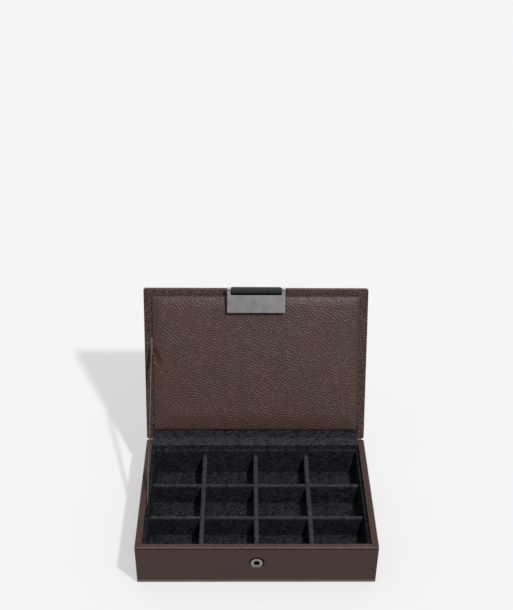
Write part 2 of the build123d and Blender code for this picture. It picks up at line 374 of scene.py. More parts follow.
def leather(name, look):
    material, tree, shader = newMaterial(name)
    place = coordinates(tree, look["flat"])
    warp = vectors("SUBTRACT", speckle(place, look["warpSize"], 2.0, output="Color"), (0.5, 0.5, 0.5))
    shift = follow("VectorMath", {0: warp, "Scale": look["warp"]}, operation="SCALE")[0]
    bent = vectors("ADD", place, shift)
    drift = speckle(place, look["driftSize"], 1.0) if look["flat"] else None
    ridge = None
    for wave, turn, share in look["waves"]:  # each: length of a wave, its direction, its share of the relief
        scale = 1 / (wave * look["patch"])
        inputs = {"Vector": bent, "Scale": scale, "Frequency": look["patch"], "Anisotropy": look["order"]}
        if drift:
            inputs[4] = scaled(drift, look["drift"], turn - look["drift"] / 2)
        line = times(follow("TexGabor", inputs, gabor_type="2D" if look["flat"] else "3D")["Value"], share)
        ridge = maths("ADD", ridge, line) if ridge else line
    ridge = mapRange(ridge, look["floor"], look["top"])
    fine = speckle(place, look["pore"], 2.0)
    height = scaled(speckle(place, look["broadSize"], 2.0), look["broad"], times(ridge, look["ridge"]))
    height = scaled(fine, look["poreHeight"], height)
    cloud = mapRange(speckle(place, look["cloud"], 3.0), 0.35, 0.65)
    colour = mixColours(cloud, look["colour"], look["warm"])
    # painted shade: the grain's valleys are darker
    colour = mixColours(times(maths("SUBTRACT", 1.0, ridge), look["valley"]), colour, look["dark"])
    if look["axes"]:
        colour = rubbedEdgesAndHighlight(tree, place, look, colour)
    rough = mapRange(fine, 0.3, 0.7, look["rough"] - 0.06, look["rough"] + 0.06)
    finishShader(shader, colour, height, mm, {"Roughness": rough, "Specular IOR Level": look["shine"]})
    return material


def rubbedEdgesAndHighlight(tree, place, look, colour):
    # an upward edge, which faces none of the box's directions, is painted paler: partly rubbed wear, partly a painted
    # highlight where the rounded edge catches the light
    most = None
    for axis in look["axes"]:
        along = dot(facing(tree), axis)
        size = maths("ABSOLUTE", along)
        most = maths("MAXIMUM", most, size) if most else size
    rubAndHighlight = times(mapRange(most, *look["slant"]), mapRange(along, *look["upward"]), look["rubAndHighlight"])
    colour = mixColours(rubAndHighlight, colour, look["edge"])
    level = part(place, "Z")
    # the bottom edge is painted paler: painted light bounced up from the floor
    colour = mixColours(mapRange(level, look["foot"], 0.5 * look["foot"]), colour, look["footBounceLight"])
    if look["crease"]:  # the shadow line under the turned edge
        off = maths("ABSOLUTE", maths("SUBTRACT", level, look["crease"]))
        line = times(mapRange(off, *look["creaseHalf"]), look["creaseDark"])
        colour = mixColours(line, colour, look["dark"])
        # the rim's top is painted darker along the two sides, where it faces up
        beside = mapRange(maths("ABSOLUTE", part(place, "X")), look["sideFrom"], look["sideFrom"] + mm)
        darkerSides = times(beside, mapRange(along, 0.9, 0.98), look["sideDark"])
        colour = mixColours(darkerSides, colour, look["dark"])
    return colour


def velvet(name, look):
    material, tree, shader = newMaterial(name)
    place = coordinates(tree, False)
    nap = speckle(follow("Mapping", {"Vector": place, "Scale": [1 / size for size in look["nap"]]})[0], 1.0, 2.0, 0.6)
    spread = scaled(nap, 0.7, times(speckle(place, look["drift"], 3.0, 0.6), 0.3))
    spread = mapRange(spread, 0.38, 0.62)
    colour = mixColours(spread, look["dark"], look["light"])
    if look["paleTop"]:  # up-facing tops near the top level are painted paler: partly worn pile, partly a painted highlight where the light falls on them
        upward = part(add(tree, "ShaderNodeNewGeometry").outputs["Normal"], "Z")
        high = mapRange(part(place, "Z"), look["paleTop"] - 4 * mm, look["paleTop"])
        wearAndSheen = times(mapRange(upward, look["turned"], 0.9), high, look["wearAndSheen"], scaled(spread, 0.7, 0.55))
        colour = mixColours(wearAndSheen, colour, look["pale"])
    height = scaled(speckle(place, look["pile"], 2.0), look["pileHeight"], times(nap, look["napHeight"]))
    finishShader(shader, colour, height, mm, {"Roughness": 0.95, "Specular IOR Level": 0.05})
    return material


def ribbonCloth(name, look):
    material, tree, shader = newMaterial(name)
    place, flat = coordinates(tree, False), coordinates(tree, True)
    across, along = part(flat, "X"), part(flat, "Y")
    rib = maths("SINE", times(scaled(across, look["slant"], along), 2 * pi / look["rib"]))
    warpThread = maths("SINE", times(across, 2 * pi / look["thread"]))
    height = scaled(warpThread, 0.15, scaled(rib, 0.35, 0.5))
    height = scaled(speckle(place, look["fuzz"], 3.0), 0.3, height)
    shade = scaled(speckle(place, look["mottle"], 2.0), look["patchy"], height)
    share = mapRange(shade, 0.2 + look["patchy"] * 0.4, 1.1 + look["patchy"] * 0.6)
    colour = mixColours(share, look["dark"], look["light"])
    if look["shadeFacing"]:  # painted shade: darker where the ribbon faces forward and down, at the bottom of the loop
        paintedShade = times(mapRange(dot(facing(tree), look["shadeFacing"]), 0.6, 0.88), 0.95)
        colour = mixColours(paintedShade, colour, look["shadeTone"])
    values = {"Roughness": look["rough"], "Sheen Weight": look["sheen"], "Sheen Roughness": 0.4}
    finishShader(shader, colour, height, look["depth"], values)
    return material


def metal(name, look):
    material, tree, shader = newMaterial(name)
    place = coordinates(tree, look["flat"])
    lines = speckle(follow("Mapping", {"Vector": place, "Scale": look["brush"]})[0], 1.0, 4.0, 0.65)
    rough = mapRange(speckle(place, look["smear"], 2.0), 0.3, 0.7, look["rough"] - 0.04, look["rough"] + 0.05)
    colour = mixColours(lines, look["dark"], look["light"])
    finishShader(shader, colour, lines, look["depth"], {"Roughness": rough, "Metallic": 1.0})
    return material


def filling(name, look):  # board, card and foam under the covers
    material, tree, shader = newMaterial(name)
    chips = speckle(coordinates(tree, False), look["grain"], 4.0, 0.7)
    finishShader(shader, mixColours(chips, look["dark"], look["light"]), chips, look["depth"], {"Roughness": 0.9}, 0.6)
    return material


caseLook = {
    "flat": False, "colour": tone(66, 48, 45), "warm": tone(69, 49, 44), "dark": tone(24, 15, 14), "rough": 0.52,
    "shine": 0.16, "waves": ((1.2 * mm, 0, 0.6), (0.8 * mm, 0, 0.4)), "patch": 2.4, "order": 0.3, "floor": 0.36,
    "top": 0.6, "ridge": 0.16, "valley": 0.45, "axes": ((1, 0, 0), (0, 1, 0), (0, 0, 1)), "slant": (0.975, 0.9),
    "upward": (0.68, 0.85), "rubAndHighlight": 0.9, "edge": tone(106, 88, 85), "foot": 3.7 * mm, "footBounceLight": tone(98, 87, 85),
    "crease": wrapHigh.z - 1.45 * mm, "creaseHalf": (0.75 * mm, 0.35 * mm), "creaseDark": 0.6,
    "sideFrom": wrapHigh.x - 6 * mm, "sideDark": 0.24, "broad": 0.14, "broadSize": 5 * mm, "pore": 0.3 * mm,
    "poreHeight": 0.02, "warp": 0.8 * mm, "warpSize": 4 * mm, "cloud": 28 * mm,
}
lidLook = {
    **caseLook, "colour": tone(72, 54, 51), "warm": tone(76, 56, 49), "rubAndHighlight": 1.0, "edge": tone(122, 102, 98),
    "crease": None, "waves": ((1.5 * mm, 0, 0.55), (0.95 * mm, 0, 0.45)), "ridge": 0.3, "valley": 0.95, "floor": 0.42,
    "top": 0.6, "axes": ((1, 0, 0), tuple(lidPlace.to_3x3().col[2]), tuple(lidPlace.to_3x3().col[1])),
}
padLook = {
    **caseLook, "axes": None, "flat": True, "colour": tone(64, 45, 42), "warm": tone(69, 47, 39),
    "dark": tone(20, 12, 11), "rough": 0.48, "shine": 0.3,
    "waves": ((2.2 * mm, radians(58), 0.6), (1.5 * mm, radians(88), 0.4)), "patch": 2.1, "order": 0.7,
    "drift": radians(100), "driftSize": 24 * mm, "floor": 0.38, "top": 0.62, "ridge": 0.19, "valley": 0.62,
    "broad": 0.2, "broadSize": 6 * mm, "warp": 1.6 * mm, "warpSize": 5 * mm, "cloud": 34 * mm,
}
velvetLook = {
    "dark": tone(7, 8, 10), "light": tone(37, 39, 44), "nap": (2.6 * mm, 1.3 * mm, 0.9 * mm), "drift": 6 * mm,
    "pile": 0.35 * mm, "napHeight": 0.12, "pileHeight": 0.1, "paleTop": 26 * mm, "wearAndSheen": 0.6, "turned": -0.3,
    "pale": tone(52, 54, 56),
}
linerLook = {**velvetLook, "paleTop": None}
liningLook = {
    **velvetLook, "dark": tone(10, 11, 13), "light": tone(42, 44, 49), "nap": (2.2 * mm, 1.1 * mm, 1.1 * mm),
    "paleTop": 36 * mm, "wearAndSheen": 0.25, "turned": 0.35, "pale": tone(60, 62, 67),
}
feltLook = {**velvetLook, "dark": tone(22, 22, 24), "light": tone(42, 42, 45), "nap": [1.2 * mm] * 3, "paleTop": None}
strapLook = {
    "dark": tone(8, 9, 11), "light": tone(34, 36, 42), "mottle": 1.7 * mm, "patchy": 2.5, "rib": 0.55 * mm,
    "thread": 0.42 * mm, "slant": 1.0, "fuzz": 0.3 * mm, "depth": 0.12 * mm, "rough": 0.85, "sheen": 0.08,
    "shadeFacing": (0, -0.85, -0.53), "shadeTone": tone(3, 3, 4),
}
stayLook = {
    **strapLook, "shadeFacing": None, "dark": tone(62, 52, 50), "light": tone(98, 86, 84), "rib": 0.45 * mm, "slant": 0.0,
    "rough": 0.6,
}
plateLook = {
    "flat": True, "dark": tone(130, 128, 129), "light": tone(162, 160, 160), "rough": 0.42,
    "brush": (120, 5200, 5200), "smear": 9 * mm, "depth": 0.004 * mm,
}
nickelLook = {
    **plateLook, "flat": False, "dark": tone(104, 102, 100), "light": tone(166, 163, 159), "rough": 0.26,
    "brush": (900, 900, 900),
}
# dark dull metal, used only as painted shade inside and round the socket
paintedShadeLook = {**nickelLook, "dark": tone(20, 19, 18), "light": tone(34, 32, 31), "rough": 0.6}
boardLook = {"dark": tone(126, 92, 60), "light": tone(176, 138, 98), "grain": 1.2 * mm, "depth": 0.1 * mm}
cardLook = {"dark": tone(120, 112, 102), "light": tone(158, 150, 138), "grain": 0.7 * mm, "depth": 0.05 * mm}
foamLook = {"dark": tone(196, 190, 172), "light": tone(226, 220, 204), "grain": 0.9 * mm, "depth": 0.3 * mm}

caseLeather = leather("caseLeather", caseLook)
lidSkin = leather("lidLeather", lidLook)
padLeather = leather("padLeather", padLook)
trayVelvet = velvet("trayVelvet", velvetLook)
linerVelvet = velvet("linerVelvet", linerLook)
liningCloth = velvet("liningCloth", liningLook)
strapCloth = ribbonCloth("strapCloth", strapLook)
stayCloth = ribbonCloth("stayCloth", stayLook)
gunmetal = metal("gunmetal", plateLook)
nickel = metal("nickel", nickelLook)
paintedShadeMetal = metal("paintedShadeMetal", paintedShadeLook)

finishes = {
    "leatherette": caseLeather, "pad_leatherette": padLeather, "velvet": trayVelvet, "lining": liningCloth,
    "strap_ribbon": strapCloth, "stay_ribbon": stayCloth, "gunmetal": gunmetal, "nickel": nickel,
    "felt": velvet("baseFelt", feltLook), "board": filling("fibreboard", boardLook),
    "card": filling("greyCard", cardLook), "foam": filling("softFoam", foamLook),
}
for entry in frame["record"]["subparts"]:  # every carried-over node gets the finish of its slot
    piece = nodes[entry["node"]]
    piece.data.materials.clear()
    piece.data.materials.append(finishes[entry["material_slot"]])
for hidden in ("snap_spring", "snap_post"):  # painted shade: dark dull metal inside the socket
    nodes[hidden].data.materials[0] = paintedShadeMetal
print("materials ready:", len(finishes))


# the leather round the base
cornerRadius = 1.5 * mm  # at the hinge
spineReach = wrapHigh[0] - cornerRadius - 0.2 * mm
baseLeather = {
    "frontRadius": 0.8, "topRound": 0.75, "bottomRound": 0.4, "cell": 3.0, "snapCell": 0.7, "ripple": 0.05,
    "rippleSize": 14, "dishRadius": 7.8, "dishDepth": 0.2, "dishPower": 1.5, "loose": 0.85, "skin": 0.7, "lip": 0.05,
    "lipDrop": 0.6, "lipHalf": 0.7, "groove": 0.55, "grooveDrop": 1.15, "grooveHalf": 0.5,
    "cuts": (0.9, 1.15, 1.4, 1.65), "outer": 0.985,
}


def makeBaseWrap():
    look = baseLeather
    low, high = wrapLow, wrapHigh
    shape = blockShape(low, high)
    roundEdges(shape, look["frontRadius"] * mm, 4, lambda a, b: upright(a, b) and a.y < 0)
    roundEdges(shape, cornerRadius, 8, lambda a, b: upright(a, b) and a.y > high.y - mm)
    roundEdges(shape, look["topRound"] * mm, 4, lambda a, b: min(a.z, b.z) > high.z - tiny)
    gridCuts(shape, look["cell"] * mm)
    foot = look["bottomRound"] * mm
    levels = [high.z - drop * mm for drop in look["cuts"]] + [low.z + foot * (1 - sin(pi * k / 10)) for k in range(5)]
    for level in levels:
        whole = everything(shape.faces)
        bmesh.ops.bisect_plane(shape, geom=whole, dist=tiny, plane_co=(0, 0, level), plane_no=(0, 0, 1))
    snapLow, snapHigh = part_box("snap_socket")
    snap = (snapLow + snapHigh) / 2
    reach = look["dishRadius"] * mm
    way = Vector((reach, 0, reach))
    window = (snap - way, snap + way)
    window[0].y, window[1].y = low.y - mm, low.y + 0.1 * mm
    gridCuts(shape, look["snapCell"] * mm, (0, 2), window)
    ripple(shape, look["rippleSize"] * mm, look["ripple"] * mm, 1)
    hole = (snapHigh.x - snapLow.x) / 2
    for vertex in shape.verts:  # the pressed line under the rim, and the rounded bottom edge
        out = (vertex.co.x / high.x, vertex.co.y / high.y, 0)
        out = Vector([value if abs(value) > look["outer"] else 0 for value in out])
        drop = (high.z - vertex.co.z) / mm
        tuck = foot - sqrt(foot**2 - min(max(low.z + foot - vertex.co.z, 0), foot) ** 2)
        vertex.co -= Vector([tuck * (1 if value > 0 else -1) if value else 0 for value in out])
        if out.length:
            sunk = smoothStep(1 - abs(drop - look["grooveDrop"]) / look["grooveHalf"]) * look["groove"]
            proud = smoothStep(1 - abs(drop - look["lipDrop"]) / look["lipHalf"]) * look["lip"]
            vertex.co += out.normalized() * (proud - sunk) * mm
        away = hypot(vertex.co.x - snap.x, vertex.co.z - snap.z)
        if vertex.co.y < low.y + mm and away < reach:
            vertex.co.y += look["dishDepth"] * mm * smoothStep((reach - away) / (reach - hole)) ** look["dishPower"]
    piece = fromBmesh("baseLeather", shape, caseLeather, 50)
    skin = look["skin"] * mm
    boardLow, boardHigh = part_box("base_bottom_board")
    liningLow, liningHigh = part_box("back_rim_lining")
    left, front, right, back = *boardLow.xy, *boardHigh.xy
    side, near, far = Vector((liningHigh.x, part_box("base_front_wall")[1].y + skin, liningLow.y))  # the inner faces
    leafEnd, top = liningLow.z, rim - skin
    floor = leafEnd - mm
    cutters = [
        cutterBox(*ends)
        for ends in (
            ((left, front, -mm), (right, back, leafEnd)),
            ((-side, near, floor), (side, back, rim + mm)),
            ((left, front, floor), (-side - skin, back, top)),
            ((side + skin, front, floor), (right, back, top)),
            ((left, front, floor), (right, near - skin, top)),
            ((left, far + skin, floor), (right, back, top)),
            ((-spineReach, back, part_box("hinge_spine")[0].z), (spineReach, high.y + mm, rim + mm)),
        )
    ]
    ring = bmesh.new()
    loose = look["loose"] * mm
    place = Matrix.Translation((snap.x, low.y, snap.z + loose)) @ Matrix.Rotation(pi / 2, 4, "X")
    wide = hole + loose
    bmesh.ops.create_cone(ring, cap_ends=True, segments=96, radius1=wide, radius2=wide, depth=8 * mm, matrix=place)
    cutAway(piece, 50, *cutters, cutterObject(ring))
    finishPiece(piece, "base", "leatherette", "base_wrap")
    print("base leather:", len(piece.data.polygons), "faces")


makeBaseWrap()


# the leather round the lid
lidLeather = {
    "freeRadius": 0.8, "edgeRound": 0.4, "cell": 3.0, "ripple": 0.05, "rippleSize": 16, "skin": 0.7, "fold": 0.1,
}


def makeLidWrap():
    look = lidLeather
    low, high = boxIn("lid_wrap", lidPlace)
    shape = blockShape(low, high)
    roundEdges(shape, look["freeRadius"] * mm, 4, lambda a, b: upright(a, b) and a.y > high.y - mm)
    roundEdges(shape, cornerRadius, 8, lambda a, b: upright(a, b) and a.y < low.y + mm)
    for face in (low.z, high.z):
        roundEdges(shape, look["edgeRound"] * mm, 4, lambda a, b: max(abs(a.z - face), abs(b.z - face)) < tiny)
    gridCuts(shape, look["cell"] * mm)
    ripple(shape, look["rippleSize"] * mm, look["ripple"] * mm, 5)
    piece = fromBmesh("lidLeather", shape, lidSkin, 50)
    skin = look["skin"] * mm
    boardLow, boardHigh = boxIn("lid_board", lidPlace)
    liningLow, liningHigh = boxIn("lid_rim_lining", lidPlace)
    edge = liningHigh.y  # how far the wrap runs under the pad
    board = cutterBox((boardLow.x, skin, boardLow.z), (boardHigh.x, boardHigh.y, boardHigh.z))
    window = cutterBox((low.x + edge, edge, -skin), (high.x - edge, high.y - edge, mm))
    channel = cutterBox((liningLow.x, -mm, -skin), (liningHigh.x, edge, mm))
    fold = cutterBox((-spineReach, -mm, low.z - mm), (spineReach, skin + look["fold"] * mm, 0))
    cutAway(piece, 50, board, window, channel, fold)
    piece.data.transform(lidPlace)
    finishPiece(piece, "lid", "leatherette", "lid_wrap")
    print("lid leather:", len(piece.data.polygons), "faces")


makeLidWrap()


# the soft hinge
hingeCloth = {"thick": 0.7, "spineBend": 0.6, "spineStep": 0.8, "spineCells": 58, "bend": 0.9, "step": 1.2, "cells": 68}
half = hingeCloth["thick"] * mm / 2
backFace = wrapHigh.y


def yz(y, z):
    return Vector((0, y, z))


def onLid(y, z):  # a point of the lid's frame, in its middle, at its place on the open lid
    return lidPlace @ Vector((0, y, z))


def makeSpine():
    look = hingeCloth
    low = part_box("hinge_spine")[0]
    lidLow = boxIn("lid_wrap", lidPlace)[0].z
    path = [
        yz(backFace - half, low.z),
        yz(backFace - half, rim - 1.5 * mm),
        yz(backFace - half * 0.6, rim - 0.55 * mm),
        onLid(half * 0.9, -1.0 * mm),
        onLid(half, -2.0 * mm),
        onLid(half, lidLow + 0.5 * mm),
        onLid(half + 0.1 * mm, lidLow + 0.12 * mm),
    ]
    path = spaced(bend(path, look["spineBend"] * mm, 3), look["spineStep"] * mm)
    piece = strip("hingeSpine", path, acrossX, 2 * spineReach, 2 * half, look["spineCells"], caseLeather)
    finishPiece(piece, None, "leatherette", "hinge_spine")
    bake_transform(piece)


def makeLining():
    look = hingeCloth
    low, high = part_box("back_rim_lining")
    lidEnd = boxIn("lid_rim_lining", lidPlace)[1].y
    path = [
        yz(low.y + half, low.z),
        yz(low.y + half, rim - half),
        yz(backFace - 1.6 * mm, rim - half),
        yz(backFace - 0.2 * mm, rim - half - 0.1 * mm),
        onLid(0.75 * mm, -half + 0.05 * mm),
        onLid(2.2 * mm, -half),
        onLid(lidEnd, -half),
    ]
    path = spaced(bend(path, look["bend"] * mm, 4), look["step"] * mm)
    piece = strip("hingeLining", path, acrossX, high.x - low.x, 2 * half, look["cells"], liningCloth)
    finishPiece(piece, None, "lining", "back_rim_lining", "hinge_lining", "lid_rim_lining")
    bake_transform(piece)


makeSpine()
makeLining()
print("hinge cloth ready")


# the padded panel in the lid
padForm = {
    "cell": 0.62, "side": 1.5, "sideRun": 0.7, "sidePower": 2.4, "slopeRun": 8.5, "crown": 0.3, "crownPower": 0.6,
    "cornerRadius": 1.2, "tuck": 0.5, "mitre": 4.0, "lowSteep": 0.5, "lowRound": 0.45, "crease": 0.05,
    "creaseSize": 7.0, "creaseRun": 5, "pucker": 0.1, "puckerSize": 2.6, "puckerLength": 14, "dent": 0.9,
    "dentSize": (4.5, 9.0), "dentLean": 0.35, "least": 0.02,
}
tabLow, tabHigh = boxIn("stay_tab", lidPlace)
tabMiddle = (tabLow.y + tabHigh.y) / 2


def padHeight(x, y, low, high):
    # the height of the pad's surface over the lid, from the distances to its edges
    look = padForm
    slope = look["slopeRun"] * mm
    toSide, toEnd = min(x - low.x, high.x - x), min(y - low.y, high.y - y)
    away = min(toSide, toEnd)
    toEnd = min((y - low.y) * look["lowSteep"], high.y - y)  # the slope at the hinge is longer
    mitre = look["mitre"] * mm  # the slopes of two sides run softly into each other
    overlap = max(mitre - abs(toSide - toEnd), 0) / mitre
    inward = max(min(toSide, toEnd) - overlap * overlap * mitre / 4, 0)
    side, power = look["side"] * mm, look["sidePower"]
    run = min(min(away, (y - low.y) * look["lowRound"]) / (look["sideRun"] * mm), 1.0)
    height = side * (1 - (1 - run) ** power) ** (1 / power)
    height += (high.z - low.z - side) * (1 - (1 - min(inward / slope, 1.0)) ** 2)
    across, along = (x - low.x) / (high.x - low.x), (y - low.y) / (high.y - low.y)
    height += look["crown"] * mm * (sin(pi * across) * sin(pi * along)) ** look["crownPower"]
    # soft unevenness, and puckers at the edges
    uneven = noise.noise(Vector((x, y, 0)) / (look["creaseSize"] * mm))
    height += uneven * look["crease"] * mm * smoothStep(away / (look["creaseRun"] * mm))
    edge = smoothStep(away / (0.8 * mm)) * (1 - smoothStep((away - 2 * mm) / (6 * mm)))
    tangent = x if toEnd < toSide else y
    wave = noise.noise(Vector((tangent / (look["puckerSize"] * mm), away / (look["puckerLength"] * mm), 7.0)))
    # the stay's tab pulls the cover down at the left
    wide, deep = look["dentSize"]
    sideways = x - low.x - (tabMiddle - y) * look["dentLean"]
    fall = (sideways / (wide * mm)) ** 2 + ((y - tabMiddle + deep * mm) / (deep * mm)) ** 2
    dent = smoothStep(1 - fall) * look["dent"] * mm * smoothStep(away / (1.5 * mm))
    return low.z + max(height + wave * look["pucker"] * mm * edge - dent, look["least"] * mm)


def makePad():
    look = padForm
    low, high = boxIn("pad_cover", lidPlace)
    columns = round((high.x - low.x) / (look["cell"] * mm))
    rows = round((high.y - low.y) / (look["cell"] * mm))
    radius = look["cornerRadius"] * mm
    mesh = bpy.data.meshes.new("lidPad")
    points = []
    for j in range(rows + 1):
        for i in range(columns + 1):
            x = low.x + (high.x - low.x) * i / columns
            y = low.y + (high.y - low.y) * j / rows
            z = padHeight(x, y, low, high)
            cornerX = max(low.x + radius - x, x - high.x + radius, 0)
            cornerY = max(low.y + radius - y, y - high.y + radius, 0)
            reach = hypot(cornerX, cornerY)
            if reach > radius:  # a rounded corner
                pull = 1 - radius / reach
                x -= cornerX * pull * (1 if x > 0 else -1)
                y -= cornerY * pull * (1 if y > (low.y + high.y) / 2 else -1)
            points.append((x, y, z))
    wide = columns + 1
    corners = [j * wide + i for j in range(rows) for i in range(columns)]
    faces = [(k, k + 1, k + wide + 1, k + wide) for k in corners]
    border = [*range(wide), *(j * wide + columns for j in range(1, rows + 1))]
    border += [*(rows * wide + i for i in range(columns - 1, -1, -1)), *(j * wide for j in range(rows - 1, 0, -1))]
    start = len(points)
    middle = (low + high) / 2
    tuck = 1 - look["tuck"] * mm / (high.y - middle.y)
    points += [(points[k][0] * tuck, middle.y + (points[k][1] - middle.y) * tuck, low.z - 0.05 * mm) for k in border]
    around = len(border)
    faces += [(border[k], start + k, start + (k + 1) % around, border[(k + 1) % around]) for k in range(around)]
    faces.append(tuple(start + k for k in range(around))[::-1])
    mesh.from_pydata(points, [], faces)
    flatMap(mesh, lambda k: mesh.vertices[k].co[:2])
    mesh.transform(lidPlace)
    smoothMesh(mesh, 70)
    piece = newObject("lidPad", mesh, padLeather)
    finishPiece(piece, "lid", "pad_leatherette", "pad_cover", "pad_foam")
    print("pad:", len(piece.data.polygons), "faces")


makePad()


# the velvet tray
trayForm = {
    "liner": {"round": 0.9, "wallRound": 0.25, "cell": 2.2, "wobble": 0.12, "size": 6, "spare": 0.15, "room": 2.0},
    "divider": {
        "round": 1.35, "cell": 1.6, "wobble": 0.16, "size": 5, "lap": 0.1, "rise": 2.2, "riseRun": 13, "taper": 0.45,
        "taperRun": 5, "full": 0.26,
    },
    "floor": {"cell": 1.6, "dip": 0.35, "dipRun": 5.0, "wobble": 0.18, "size": 7, "wobbleRun": 3},
}


def softBlock(name, low, high, look, seed, toWall=None, shift=None):
    shape = blockShape(low, high)
    atTop = lambda a, b: min(a.z, b.z) > high.z - tiny
    if toWall:  # the edge that lies against a wall stays almost sharp
        wall = max(low.dot(toWall), high.dot(toWall)) - tiny
        outward = lambda a, b: (a + b).dot(toWall) / 2
        roundEdges(shape, look["round"] * mm, 4, lambda a, b: atTop(a, b) and outward(a, b) < wall)
        roundEdges(shape, look["wallRound"] * mm, 2, lambda a, b: atTop(a, b) and outward(a, b) > wall)
    else:
        roundEdges(shape, look["round"] * mm, 4, atTop)
    gridCuts(shape, look["cell"] * mm)
    if shift:
        for vertex in shape.verts:
            vertex.co = shift(vertex.co)
    ripple(shape, look["size"] * mm, look["wobble"] * mm, seed)
    return fromBmesh(name, shape, linerVelvet if toWall else trayVelvet, 60)


def makeLiners():
    look = trayForm["liner"]
    walls = {"left": (-1, 0, 0), "right": (1, 0, 0), "front": (0, -1, 0), "back": (0, 1, 0)}
    for seed, (side, toWall) in enumerate(walls.items()):
        low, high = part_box("liner_" + side)
        piece = softBlock("liner" + side.capitalize(), low, high, look, 11 + seed, Vector(toWall))
        if side == "left":  # room for the stay behind its top edge
            tailLow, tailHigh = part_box("stay_tail")
            room, spare = look["room"] * mm, look["spare"] * mm
            start = (low.x - mm, tailLow.y - room, tailLow.z - room)
            cutAway(piece, 60, cutterBox(start, (tailHigh.x + spare, tailHigh.y + room, high.z + mm)))
        finishPiece(piece, "base", "velvet", "liner_" + side)


def repeatTree():
    # a row of equal pieces: one piece on each point of a line
    tree = bpy.data.node_groups.new("repeatAlongLine", "GeometryNodeTree")
    kinds = {"Piece": "Object", "Count": "Int", "Step": "Vector", "Finish": "Material"}
    for key, kind in kinds.items():
        tree.interface.new_socket(key, in_out="INPUT", socket_type="NodeSocket" + kind)
    tree.interface.new_socket("Geometry", in_out="OUTPUT", socket_type="NodeSocketGeometry")
    given = tree.nodes.new("NodeGroupInput").outputs
    line = add(tree, "GeometryNodeMeshLine", {"Count": given["Count"], "Offset": given["Step"]}, mode="OFFSET")
    piece = add(tree, "GeometryNodeObjectInfo", {"Object": given["Piece"]})
    inputs = {"Points": line.outputs["Mesh"], "Instance": piece.outputs["Geometry"]}
    copies = add(tree, "GeometryNodeInstanceOnPoints", inputs)
    real = add(tree, "GeometryNodeRealizeInstances", {"Geometry": copies.outputs["Instances"]})
    finished = add(tree, "GeometryNodeSetMaterial", {"Geometry": real.outputs["Geometry"], "Material": given["Finish"]})
    add(tree, "NodeGroupOutput", {"Geometry": finished.outputs["Geometry"]})
    return tree


def repeated(name, tree, values):
    holder = newObject(name, bpy.data.meshes.new(name))
    row = holder.modifiers.new("row", "NODES")
    row.node_group = tree
    for item in tree.interface.items_tree:
        if item.in_out == "INPUT":
            row[item.identifier] = values[item.name]
    bake(holder)
    return holder


def makeDividers():
    look = trayForm["divider"]
    tree = repeatTree()
    kinds = {kind: sorted(n for n in nodes if n.startswith("divider_" + kind.lower())) for kind in ("Across", "Deep")}
    place = lambda box: box[0].x + box[0].y
    boxes = {kind: sorted((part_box(n) for n in names), key=place) for kind, names in kinds.items()}
    middle = (boxes["Deep"][0][0].z + boxes["Deep"][0][1].z) / 2
    lap, run, taperRun = look["lap"] * mm, look["riseRun"] * mm, look["taperRun"] * mm
    for kind, names in kinds.items():
        low, high = boxes[kind][0]
        end = boxes[kind][-1][1]

        def risen(point):  # the cover is drawn up where a divider meets the back liner
            rise = smoothStep((point.y - high.y + run) / run)
            share = (point.z - low.z) / (high.z - low.z)
            slim = 1 - look["taper"] * smoothStep((point.y - high.y + taperRun) / taperRun) * share
            slim *= 1 + look["full"] * share
            middleX = (low.x + high.x) / 2
            return Vector((middleX + (point.x - middleX) * slim, point.y, point.z + look["rise"] * mm * rise * share))

        one = softBlock("one" + kind, low, high, {**look, "wobble": 0}, 0, shift=risen if kind == "Deep" else None)
        values = {"Piece": one, "Count": len(names), "Step": boxes[kind][1][0] - low, "Finish": trayVelvet}
        piece = repeated("dividers" + kind, tree, values)
        bpy.data.objects.remove(one)
        shape = bmesh.new()
        shape.from_mesh(piece.data)
        ripple(shape, look["size"] * mm, look["wobble"] * mm, 21 + len(names))
        shape.to_mesh(piece.data)
        shape.free()
        cutters = []
        for start, stop in boxes["Across" if kind == "Deep" else "Deep"]:  # halved where they cross
            if kind == "Across":
                ends = (start.x - lap, low.y - mm, middle - lap), (stop.x + lap, end.y + mm, high.z + mm)
            else:
                ends = (low.x - mm, start.y - lap, low.z - mm), (end.x + mm, stop.y + lap, middle)
            cutters.append(cutterBox(*ends))
        cutAway(piece, 60, *cutters)
        finishPiece(piece, "base", "velvet", *names)


def makeTrayFloor():
    look = trayForm["floor"]
    low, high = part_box("tray_floor_pad")
    shape = blockShape(low, high)
    gridCuts(shape, look["cell"] * mm, (0, 1))
    acrossY = [sum(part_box(n), Vector()).y / 2 for n in nodes if n.startswith("divider_across")] + [low.y, high.y]
    deepX = [sum(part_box(n), Vector()).x / 2 for n in nodes if n.startswith("divider_deep")] + [low.x, high.x]
    for vertex in shape.verts:
        if vertex.co.z > high.z - tiny:
            away = min(min(abs(vertex.co.x - x) for x in deepX), min(abs(vertex.co.y - y) for y in acrossY))
            swell = smoothStep(away / (look["dipRun"] * mm)) * look["dip"] * mm
            grain = noise.noise(vertex.co / (look["size"] * mm)) * look["wobble"] * mm
            vertex.co.z += swell + grain * smoothStep(away / (look["wobbleRun"] * mm))
    piece = fromBmesh("trayFloor", shape, trayVelvet, 60)
    finishPiece(piece, "base", "velvet", "tray_floor_pad")


makeLiners()
makeDividers()
makeTrayFloor()
print("tray ready")


# the ribbons
stayForm = {
    "width": 7.0, "thick": 0.3, "twist": radians(2.5), "bow": 0.1, "keep": 0.02, "tail": 15, "short": 1.2,
    "steps": 60, "cells": 6,
}


